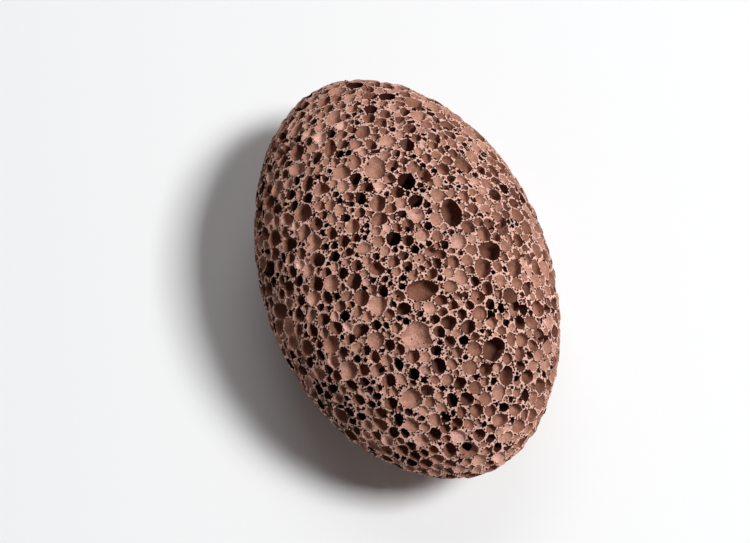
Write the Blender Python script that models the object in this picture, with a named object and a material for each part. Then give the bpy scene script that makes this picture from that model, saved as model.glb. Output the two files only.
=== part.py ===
"""A pumice stone: one piece of reddish volcanic foam, tumbled to a flattened egg.

The stone lies on its broad underside, which is worn flat in the middle. Its open pits are
gas bubbles that the tumbling cut through. The largest ones are modelled here.
Units are metres, +X runs along the stone's length and +Z is up.
"""
import math
import random

import bpy
from mathutils import Vector

MM = 0.001

# The stone's overall size
LENGTH = 100 * MM
WIDTH = 66 * MM
THICKNESS = 42 * MM

# How much is worn off the underside, which leaves the flat foot
WORN = 0.8 * MM

# How far the outline leaves a true ellipse, as shares of the radius: four faint corners
# turned a little from the axes, and a broad end against a narrow one
CORNERS = 0.009
CORNERS_TURN = math.radians(11.6)
BROAD_END = 0.003
BROAD_END_TURN = math.radians(210)

# The blank's grid
AROUND = 48
RINGS = 22

# A pit's cutter: sides around, and its rings from above the skin down to the last one
# over the bottom point, as (share of the depth, share of the radius)
PIT_SIDES = 8
PIT_ABOVE = 0.8 * MM
PIT_RINGS = ((0.40, 0.94), (0.82, 0.58))

# Walls between neighbouring pits
WALL = 0.5 * MM

# Depth of each kind of pit, as a share of its breadth
DEPTH = {"dish": 0.30, "bowl": 0.50, "deep": 0.80}

# The largest pits on the upper side, in millimetres:
# x, y, long and short width, turn of the long width from +X in degrees, kind
UPPER_PITS = (
    (-42.1, -4.8, 4.4, 3.3, -17, "bowl"),
    (-39.4, 5.4, 3.9, 3.4, 70, "deep"),
    (-36.0, -4.7, 5.6, 3.6, -18, "dish"),
    (-37.8, -13.0, 4.6, 3.0, -58, "bowl"),
    (-32.6, 2.6, 3.7, 3.2, 43, "bowl"),
    (-31.1, -15.3, 4.6, 4.0, -18, "bowl"),
    (-29.3, 0.2, 4.5, 3.7, -19, "dish"),
    (-28.0, -8.2, 5.6, 3.1, -20, "bowl"),
    (-26.8, -16.6, 4.8, 3.6, 56, "dish"),
    (-23.6, 19.4, 3.5, 2.8, 15, "deep"),
    (-22.6, 8.3, 4.4, 3.7, -20, "deep"),
    (-22.2, -4.4, 4.2, 3.6, -19, "dish"),
    (-21.9, -15.7, 4.4, 3.0, -18, "deep"),
    (-19.0, -0.6, 6.2, 5.1, -19, "dish"),
    (-20.3, -23.7, 4.0, 2.7, 50, "deep"),
    (-18.0, 11.4, 3.2, 2.4, -20, "bowl"),
    (-17.1, -28.1, 4.6, 3.0, 41, "bowl"),
    (-16.4, -22.7, 4.0, 3.3, 54, "bowl"),
    (-15.7, -18.9, 4.8, 4.6, 58, "bowl"),
    (-14.8, -4.1, 3.6, 3.0, 67, "deep"),
    (-13.7, 9.1, 4.0, 3.4, -20, "deep"),
    (-12.4, 22.4, 3.7, 2.5, -21, "deep"),
    (-12.2, 25.7, 4.2, 3.0, -21, "bowl"),
    (-11.2, -20.3, 4.8, 3.0, -19, "bowl"),
    (-11.4, -17.2, 3.6, 3.4, 61, "bowl"),
    (-10.6, -24.1, 4.6, 3.9, 55, "deep"),
    (-10.3, -3.1, 4.6, 3.9, -19, "bowl"),
    (-7.2, -10.1, 3.7, 3.5, -19, "bowl"),
    (-5.7, 23.3, 3.8, 3.5, -36, "deep"),
    (-3.6, -19.5, 4.5, 3.7, 61, "deep"),
    (-3.0, 11.7, 8.0, 5.1, -6, "deep"),
    (-3.2, 16.8, 3.4, 2.9, -20, "bowl"),
    (-1.3, -9.5, 3.8, 3.2, 66, "dish"),
    (1.5, -21.5, 3.9, 3.5, 60, "deep"),
    (1.9, -30.7, 6.2, 4.4, 71, "bowl"),
    (4.3, -8.5, 4.1, 3.8, 67, "bowl"),
    (4.6, -13.8, 4.1, 3.6, -19, "deep"),
    (5.9, -27.1, 4.1, 3.1, 9, "deep"),
    (6.4, 13.0, 3.5, 3.1, 77, "dish"),
    (7.6, 16.8, 5.6, 4.9, 79, "deep"),
    (8.8, -13.6, 4.2, 3.8, -19, "bowl"),
    (12.0, 8.3, 3.8, 3.4, -20, "dish"),
    (12.3, -0.7, 7.4, 5.3, 71, "bowl"),
    (12.2, 26.5, 4.5, 3.0, -21, "bowl"),
    (12.4, -21.0, 3.9, 3.1, 35, "deep"),
    (12.7, -28.0, 4.7, 3.9, -87, "bowl"),
    (14.7, -5.8, 3.7, 3.3, 69, "deep"),
    (15.1, -16.2, 4.0, 3.3, 65, "deep"),
    (15.9, -30.1, 4.2, 2.6, 75, "deep"),
    (17.1, 10.5, 3.9, 3.3, -20, "bowl"),
    (17.4, 22.5, 6.6, 2.2, -34, "deep"),
    (18.4, 18.0, 4.4, 4.1, 81, "deep"),
    (21.1, -5.3, 7.2, 6.3, 70, "dish"),
    (21.8, -0.4, 3.2, 3.0, -20, "deep"),
    (22.7, 6.1, 4.2, 3.3, -58, "deep"),
    (24.9, -21.8, 3.6, 2.8, 62, "deep"),
    (27.6, -14.2, 3.8, 3.4, 66, "deep"),
    (27.7, 21.5, 4.3, 3.4, 87, "bowl"),
    (28.1, 17.0, 3.8, 3.4, 82, "bowl"),
    (28.2, -21.4, 3.9, 3.0, 61, "deep"),
    (28.8, -3.0, 4.0, 3.6, -20, "deep"),
    (28.8, 9.8, 6.5, 5.0, -58, "deep"),
    (31.0, 3.5, 3.9, 3.5, 74, "dish"),
    (32.5, -6.7, 3.7, 3.1, 70, "deep"),
    (32.9, -10.8, 5.4, 4.6, 68, "dish"),
    (33.4, 0.3, 3.6, 3.0, -60, "deep"),
    (34.7, 10.8, 5.2, 3.6, -20, "deep"),
    (34.9, -18.6, 4.2, 3.3, 51, "bowl"),
    (37.3, 8.0, 3.9, 3.5, -19, "dish"),
    (37.0, 0.8, 3.8, 3.2, 55, "deep"),
    (37.7, -12.5, 3.9, 3.7, 67, "dish"),
    (42.5, 6.4, 4.1, 3.5, 78, "bowl"),
    (45.1, 12.5, 4.0, 2.8, 78, "bowl"),
    (45.0, -6.3, 3.9, 3.3, -19, "deep"),
    (46.4, -2.1, 5.2, 4.4, 74, "bowl"),
)

# The rest of the skin gets pits of the same kind, strewn from a fixed seed wherever the
# skin turns away from the side that the list covers. The foot's middle stays whole.
LISTED_SIDE = Vector((0.34, -0.12, 0.93))
LISTED_LIMIT = 0.22
STREWN_SEED = 7
STREWN_TRIES = 4000
STREWN_GAP = 5.4 * MM
STREWN_WIDTH = (3.8 * MM, 6.4 * MM)
FOOT_CLEAR = 0.46

STONE_COLOUR = (0.36, 0.19, 0.145, 1.0)


def clear_scene():
    """Remove every object that the file opened with."""
    for old in list(bpy.data.objects):
        bpy.data.objects.remove(old, do_unlink=True)


def outline(u, v):
    """The uneven ellipse, before it is fitted to the stone's length and width."""
    flat = math.hypot(u, v)
    turn = math.atan2(v, u)
    grow = 1.0
    grow += CORNERS * flat ** 4 * math.cos(4 * (turn - CORNERS_TURN))
    grow += BROAD_END * flat ** 3 * math.cos(3 * turn - BROAD_END_TURN)
    return u * grow, v * grow


def outline_span():
    """The middle and the half span of the widest outline, along X and along Y."""
    steps = 720
    rim = [outline(math.cos(2 * math.pi * k / steps), math.sin(2 * math.pi * k / steps)) for k in range(steps)]
    low = [min(point[axis] for point in rim) for axis in (0, 1)]
    high = [max(point[axis] for point in rim) for axis in (0, 1)]
    return [((high[k] + low[k]) / 2, (high[k] - low[k]) / 2) for k in (0, 1)]


SPAN = outline_span()


def skin_point(direction):
    """The point on the stone's skin in a direction of the unit sphere."""
    x, y = outline(direction[0], direction[1])
    half_height = (THICKNESS + WORN) / 2
    return Vector((
        LENGTH / 2 * (x - SPAN[0][0]) / SPAN[0][1],
        WIDTH / 2 * (y - SPAN[1][0]) / SPAN[1][1],
        THICKNESS - half_height + half_height * direction[2],
    ))


def skin_normal(direction):
    """The outward direction of the skin there."""
    u, v, w = direction
    half_height = (THICKNESS + WORN) / 2
    return Vector((u / (LENGTH / 2), v / (WIDTH / 2), w / half_height)).normalized()


def direction_above(x, y):
    """The direction of the unit sphere that lands on the upper side over x, y."""
    u = x / (LENGTH / 2)
    v = y / (WIDTH / 2)
    return Vector((u, v, math.sqrt(max(0.0, 1 - u * u - v * v))))


def foot_level():
    """Height on the unit sphere of the foot's edge."""
    half_height = (THICKNESS + WORN) / 2
    return -(half_height - WORN) / half_height


def make_mesh(name, points, faces):
    """One mesh object from points and faces."""
    mesh = bpy.data.meshes.new(name)
    mesh.from_pydata([tuple(p) for p in points], [], faces)
    mesh.validate()
    ob = bpy.data.objects.new(name, mesh)
    bpy.context.scene.collection.objects.link(ob)
    return ob


def make_blank():
    """The stone before its bubbles are opened: rings from the top point to the flat foot."""
    lowest = math.acos(foot_level())
    points = [skin_point((0.0, 0.0, 1.0))]
    for ring in range(1, RINGS + 1):
        polar = lowest * ring / RINGS
        for step in range(AROUND):
            turn = 2 * math.pi * step / AROUND
            side = math.sin(polar)
            point = skin_point((side * math.cos(turn), side * math.sin(turn), math.cos(polar)))
            if ring == RINGS:
                point.z = 0.0
            points.append(point)
    faces = []
    for step in range(AROUND):
        after = (step + 1) % AROUND
        faces.append((0, 1 + step, 1 + after))
        for ring in range(RINGS - 1):
            upper = 1 + ring * AROUND
            lower = upper + AROUND
            faces.append((upper + step, lower + step, lower + after, upper + after))
    last = 1 + (RINGS - 1) * AROUND
    faces.append(tuple(last + step for step in reversed(range(AROUND))))
    return make_mesh("pumice_stone", points, faces)


class Pit:
    """One opened bubble: where it is, how wide and deep, and which way it is turned."""

    def __init__(self, direction, long_width, short_width, along, kind):
        self.centre = skin_point(direction)
        self.normal = skin_normal(direction)
        self.along = (along - self.normal * along.dot(self.normal)).normalized()
        self.across = self.normal.cross(self.along)
        self.half_long = long_width / 2
        self.half_short = short_width / 2
        self.depth = DEPTH[kind] * short_width

    def reach(self, way):
        """How far the mouth reaches from its centre toward a neighbour."""
        a = way.dot(self.along)
        b = way.dot(self.across)
        size = math.hypot(a, b)
        if size < 1e-6:
            return self.half_short
        return size / math.hypot(a / self.half_long, b / self.half_short)


def listed_pits():
    """The pits of the upper side, from the list."""
    pits = []
    for x, y, long_width, short_width, turn, kind in UPPER_PITS:
        turn = math.radians(turn)
        along = Vector((math.cos(turn), math.sin(turn), 0))
        pits.append(Pit(direction_above(x * MM, y * MM), long_width * MM, short_width * MM, along, kind))
    return pits


def strewn_pits(taken):
    """Pits for the sides and the underside, kept apart from each other and the listed ones."""
    rng = random.Random(STREWN_SEED)
    pits = list(taken)
    for _ in range(STREWN_TRIES):
        direction = Vector((rng.gauss(0, 1), rng.gauss(0, 1), rng.gauss(0, 1))).normalized()
        width = rng.uniform(*STREWN_WIDTH)
        squeeze = rng.uniform(0.68, 0.95)
        along = Vector((rng.gauss(0, 1), rng.gauss(0, 1), rng.gauss(0, 0.4)))
        kind = rng.choice(("dish", "bowl", "bowl", "deep"))
        if skin_normal(direction).dot(LISTED_SIDE) > LISTED_LIMIT:
            continue
        if direction.z < -0.8 and math.hypot(direction.x, direction.y) < FOOT_CLEAR:
            continue
        pit = Pit(direction, width, width * squeeze, along, kind)
        room = STREWN_GAP + width / 2
        if all((pit.centre - other.centre).length > room + other.half_long for other in pits):
            pits.append(pit)
    return pits[len(taken):]


def pit_limits(pit, pits):
    """Where a pit is pressed flat by its neighbours: a direction and how far it may reach."""
    limits = []
    for other in pits:
        gap = other.centre - pit.centre
        if other is pit or gap.length > 12 * MM:
            continue
        way = gap.normalized()
        mine = pit.reach(way)
        theirs = other.reach(-way)
        if mine + theirs + WALL > gap.length:
            limits.append((way, gap.length * mine / (mine + theirs) - WALL / 2))
    return limits


def make_cutters(pits):
    """One mesh with a closed bubble for each pit, from just above the skin to its bottom."""
    points = []
    faces = []
    for pit in pits:
        first = len(points)
        limits = pit_limits(pit, pits)
        rings = ((-PIT_ABOVE / pit.depth, 1.02),) + PIT_RINGS
        for down, wide in rings:
            for step in range(PIT_SIDES):
                turn = 2 * math.pi * step / PIT_SIDES
                out = pit.along * (pit.half_long * wide * math.cos(turn))
                out += pit.across * (pit.half_short * wide * math.sin(turn))
                for way, limit in limits:
                    beyond = out.dot(way)
                    if beyond > limit * wide:
                        out *= limit * wide / beyond
                points.append(pit.centre + out - pit.normal * (pit.depth * down))
        points.append(pit.centre - pit.normal * pit.depth)
        bottom = len(points) - 1
        for step in range(PIT_SIDES):
            after = (step + 1) % PIT_SIDES
            for ring in range(len(rings) - 1):
                upper = first + ring * PIT_SIDES
                lower = upper + PIT_SIDES
                faces.append((upper + step, lower + step, lower + after, upper + after))
            last = first + (len(rings) - 1) * PIT_SIDES
            faces.append((last + step, bottom, last + after))
        faces.append(tuple(first + step for step in range(PIT_SIDES)))
    cutters = make_mesh("pit_cutters", points, faces)
    cutters.hide_render = True
    cutters.display_type = "WIRE"
    return cutters


def cut(ob, cutters):
    """Subtract the cutters from the object, live."""
    boolean = ob.modifiers.new("Pits", "BOOLEAN")
    boolean.operation = "DIFFERENCE"
    boolean.object = cutters
    boolean.solver = "EXACT"


def stone_material():
    """Plain reddish-brown pumice."""
    material = bpy.data.materials.new("pumice")
    material.use_nodes = True
    shader = material.node_tree.nodes["Principled BSDF"]
    shader.inputs["Base Color"].default_value = STONE_COLOUR
    shader.inputs["Roughness"].default_value = 0.95
    shader.inputs["Metallic"].default_value = 0.0
    material.diffuse_color = STONE_COLOUR
    return material


def main():
    clear_scene()
    stone = make_blank()
    stone.data.materials.append(stone_material())
    pits = listed_pits()
    pits += strewn_pits(pits)
    cut(stone, make_cutters(pits))


main()
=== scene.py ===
# %% [markdown]
# # A pumice stone, from solid egg to volcanic foam
#
# Pumice is lava that froze while gas was still boiling out of it, so it is more bubble than
# stone. Tumbling wore this piece to a flattened egg about 100 mm long, and every bubble that
# the wear reached lies open: shallow dishes where only the floor is left, round bowls where
# half is left, and black holes where the mouth just broke through. The lesson makes the egg,
# settles where every bubble lies, shapes them, cuts them out, and adds the dusty colour with
# shade painted into the bubbles.

# %% Load the frame
import math
import random

import bmesh
import bpy
import numpy as np
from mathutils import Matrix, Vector


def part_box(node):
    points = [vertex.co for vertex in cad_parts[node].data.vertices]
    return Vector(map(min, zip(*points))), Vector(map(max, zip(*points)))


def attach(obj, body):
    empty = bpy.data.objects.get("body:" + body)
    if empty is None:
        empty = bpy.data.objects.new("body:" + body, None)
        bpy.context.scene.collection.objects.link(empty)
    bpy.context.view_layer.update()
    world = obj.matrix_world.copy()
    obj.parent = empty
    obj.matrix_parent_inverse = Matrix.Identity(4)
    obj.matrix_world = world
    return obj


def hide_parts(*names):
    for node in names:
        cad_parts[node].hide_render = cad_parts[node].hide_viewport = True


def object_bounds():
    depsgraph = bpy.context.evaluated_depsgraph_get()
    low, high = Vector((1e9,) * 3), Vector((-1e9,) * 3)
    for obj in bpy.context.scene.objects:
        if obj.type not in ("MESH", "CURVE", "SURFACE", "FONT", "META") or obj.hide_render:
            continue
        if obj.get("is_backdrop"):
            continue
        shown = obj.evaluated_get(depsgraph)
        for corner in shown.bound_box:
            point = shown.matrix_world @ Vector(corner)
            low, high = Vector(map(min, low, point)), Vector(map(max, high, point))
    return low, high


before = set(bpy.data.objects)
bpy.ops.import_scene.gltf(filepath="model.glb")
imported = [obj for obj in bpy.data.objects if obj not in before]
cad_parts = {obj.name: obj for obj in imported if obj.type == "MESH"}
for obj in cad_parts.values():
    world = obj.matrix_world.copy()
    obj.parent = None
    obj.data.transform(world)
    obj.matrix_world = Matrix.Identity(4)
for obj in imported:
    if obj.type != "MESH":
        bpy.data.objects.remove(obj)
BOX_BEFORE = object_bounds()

MM = 0.001
NODE = "pumice_stone"
LOW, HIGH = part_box(NODE)
LENGTH, WIDTH, THICKNESS = (HIGH[k] - LOW[k] for k in range(3))
print("stone", [round(size / MM, 1) for size in (LENGTH, WIDTH, THICKNESS)], "mm")


def add_object(name, data):
    """A new object in the scene, with the given mesh, camera or lamp."""
    ob = bpy.data.objects.new(name, data)
    bpy.context.scene.collection.objects.link(ob)
    return ob


def new_material(name, roughness, specular):
    """A new material and the inputs of its shader."""
    material = bpy.data.materials.new(name)
    material.use_nodes = True
    inputs = material.node_tree.nodes["Principled BSDF"].inputs
    inputs["Roughness"].default_value = roughness
    inputs["Specular IOR Level"].default_value = specular
    return material, inputs


# %% [markdown]
# ## The worn egg
#
# Tumbled stones are nearly ellipsoids. This one has four faint corners, one end a little
# broader than the other, and a small flat foot to lie on. A sphere could be sculpted by hand,
# but the bubbles later need a point and an outward direction anywhere on the skin. So the
# egg is a formula from a direction of the unit sphere to a point, for thousands at once.

# %% The skin as a formula
WORN = 0.8 * MM
CORNERS = 0.009
CORNERS_TURN = math.radians(11.6)
BROAD_END = 0.003
BROAD_END_TURN = math.radians(210)
HALF = np.array([LENGTH / 2, WIDTH / 2, (THICKNESS + WORN) / 2])


def outline(u, v):
    """The uneven ellipse, before it is fitted to the stone's length and width."""
    flat = np.hypot(u, v)
    turn = np.arctan2(v, u)
    grow = 1 + CORNERS * flat ** 4 * np.cos(4 * (turn - CORNERS_TURN))
    grow = grow + BROAD_END * flat ** 3 * np.cos(3 * turn - BROAD_END_TURN)
    return np.stack([u * grow, v * grow], axis=-1)


RIM_TURN = np.arange(720) * 2 * math.pi / 720
RIM = outline(np.cos(RIM_TURN), np.sin(RIM_TURN))
RIM_MIDDLE = (RIM.max(0) + RIM.min(0)) / 2
RIM_HALF = (RIM.max(0) - RIM.min(0)) / 2


def skin_points(directions):
    """Points of the skin in the given directions, one row each."""
    d = np.atleast_2d(directions)
    flat = (outline(d[:, 0], d[:, 1]) - RIM_MIDDLE) / RIM_HALF * HALF[:2]
    height = THICKNESS - HALF[2] + HALF[2] * d[:, 2]
    return np.column_stack([flat, np.maximum(height, 0)])


def skin_normals(directions):
    """Outward directions of the skin there. On the foot they point straight down."""
    d = np.atleast_2d(directions)
    normals = d / HALF
    normals[THICKNESS - HALF[2] + HALF[2] * d[:, 2] < 0] = (0, 0, -1)
    return normals / np.linalg.norm(normals, axis=1)[:, None]


print("foot", round(2 * HALF[0] * math.sqrt(1 - (1 - WORN / HALF[2]) ** 2) / MM, 1), "mm long")

# %% [markdown]
# ## Bubbles that can be told apart
#
# The eye finds the largest bubbles first, so they are placed one by one: where each mouth
# lies on the upper side, how long and wide it is, which way it is turned, and whether it is a
# dish, a bowl or a deep hole. The solid model cuts the same ones.

# %% The largest bubbles of the upper side
# x, y, long and short width in millimetres, turn of the long width in degrees, kind
UPPER_PITS = (
    (-42.1, -4.8, 4.4, 3.3, -17, "bowl"), (-39.4, 5.4, 3.9, 3.4, 70, "deep"),
    (-36, -4.7, 5.6, 3.6, -18, "dish"), (-37.8, -13, 4.6, 3, -58, "bowl"),
    (-32.6, 2.6, 3.7, 3.2, 43, "bowl"), (-31.1, -15.3, 4.6, 4, -18, "bowl"),
    (-29.3, 0.2, 4.5, 3.7, -19, "dish"), (-28, -8.2, 5.6, 3.1, -20, "bowl"),
    (-26.8, -16.6, 4.8, 3.6, 56, "dish"), (-23.6, 19.4, 3.5, 2.8, 15, "deep"),
    (-22.6, 8.3, 4.4, 3.7, -20, "deep"), (-22.2, -4.4, 4.2, 3.6, -19, "dish"),
    (-21.9, -15.7, 4.4, 3, -18, "deep"), (-19, -0.6, 6.2, 5.1, -19, "dish"),
    (-20.3, -23.7, 4, 2.7, 50, "deep"), (-18, 11.4, 3.2, 2.4, -20, "bowl"),
    (-17.1, -28.1, 4.6, 3, 41, "bowl"), (-16.4, -22.7, 4, 3.3, 54, "bowl"),
    (-15.7, -18.9, 4.8, 4.6, 58, "bowl"), (-14.8, -4.1, 3.6, 3, 67, "deep"),
    (-13.7, 9.1, 4, 3.4, -20, "deep"), (-12.4, 22.4, 3.7, 2.5, -21, "deep"),
    (-12.2, 25.7, 4.2, 3, -21, "bowl"), (-11.2, -20.3, 4.8, 3, -19, "bowl"),
    (-11.4, -17.2, 3.6, 3.4, 61, "bowl"), (-10.6, -24.1, 4.6, 3.9, 55, "deep"),
    (-10.3, -3.1, 4.6, 3.9, -19, "bowl"), (-7.2, -10.1, 3.7, 3.5, -19, "bowl"),
    (-5.7, 23.3, 3.8, 3.5, -36, "deep"), (-3.6, -19.5, 4.5, 3.7, 61, "deep"),
    (-3, 11.7, 8, 5.1, -6, "deep"), (-3.2, 16.8, 3.4, 2.9, -20, "bowl"),
    (-1.3, -9.5, 3.8, 3.2, 66, "dish"), (1.5, -21.5, 3.9, 3.5, 60, "deep"),
    (1.9, -30.7, 6.2, 4.4, 71, "bowl"), (4.3, -8.5, 4.1, 3.8, 67, "bowl"),
    (4.6, -13.8, 4.1, 3.6, -19, "deep"), (5.9, -27.1, 4.1, 3.1, 9, "deep"),
    (6.4, 13, 3.5, 3.1, 77, "dish"), (7.6, 16.8, 5.6, 4.9, 79, "deep"),
    (8.8, -13.6, 4.2, 3.8, -19, "bowl"), (12, 8.3, 3.8, 3.4, -20, "dish"),
    (12.3, -0.7, 7.4, 5.3, 71, "bowl"), (12.2, 26.5, 4.5, 3, -21, "bowl"),
    (12.4, -21, 3.9, 3.1, 35, "deep"), (12.7, -28, 4.7, 3.9, -87, "bowl"),
    (14.7, -5.8, 3.7, 3.3, 69, "deep"), (15.1, -16.2, 4, 3.3, 65, "deep"),
    (15.9, -30.1, 4.2, 2.6, 75, "deep"), (17.1, 10.5, 3.9, 3.3, -20, "bowl"),
    (17.4, 22.5, 6.6, 2.2, -34, "deep"), (18.4, 18, 4.4, 4.1, 81, "deep"),
    (21.1, -5.3, 7.2, 6.3, 70, "dish"), (21.8, -0.4, 3.2, 3, -20, "deep"),
    (22.7, 6.1, 4.2, 3.3, -58, "deep"), (24.9, -21.8, 3.6, 2.8, 62, "deep"),
    (27.6, -14.2, 3.8, 3.4, 66, "deep"), (27.7, 21.5, 4.3, 3.4, 87, "bowl"),
    (28.1, 17, 3.8, 3.4, 82, "bowl"), (28.2, -21.4, 3.9, 3, 61, "deep"),
    (28.8, -3, 4, 3.6, -20, "deep"), (28.8, 9.8, 6.5, 5, -58, "deep"),
    (31, 3.5, 3.9, 3.5, 74, "dish"), (32.5, -6.7, 3.7, 3.1, 70, "deep"),
    (32.9, -10.8, 5.4, 4.6, 68, "dish"), (33.4, 0.3, 3.6, 3, -60, "deep"),
    (34.7, 10.8, 5.2, 3.6, -20, "deep"), (34.9, -18.6, 4.2, 3.3, 51, "bowl"),
    (37.3, 8, 3.9, 3.5, -19, "dish"), (37, 0.8, 3.8, 3.2, 55, "deep"),
    (37.7, -12.5, 3.9, 3.7, 67, "dish"), (42.5, 6.4, 4.1, 3.5, 78, "bowl"),
    (45.1, 12.5, 4, 2.8, 78, "bowl"), (45, -6.3, 3.9, 3.3, -19, "deep"),
    (46.4, -2.1, 5.2, 4.4, 74, "bowl"),
)
print(len(UPPER_PITS), "bubbles placed by eye")
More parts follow.
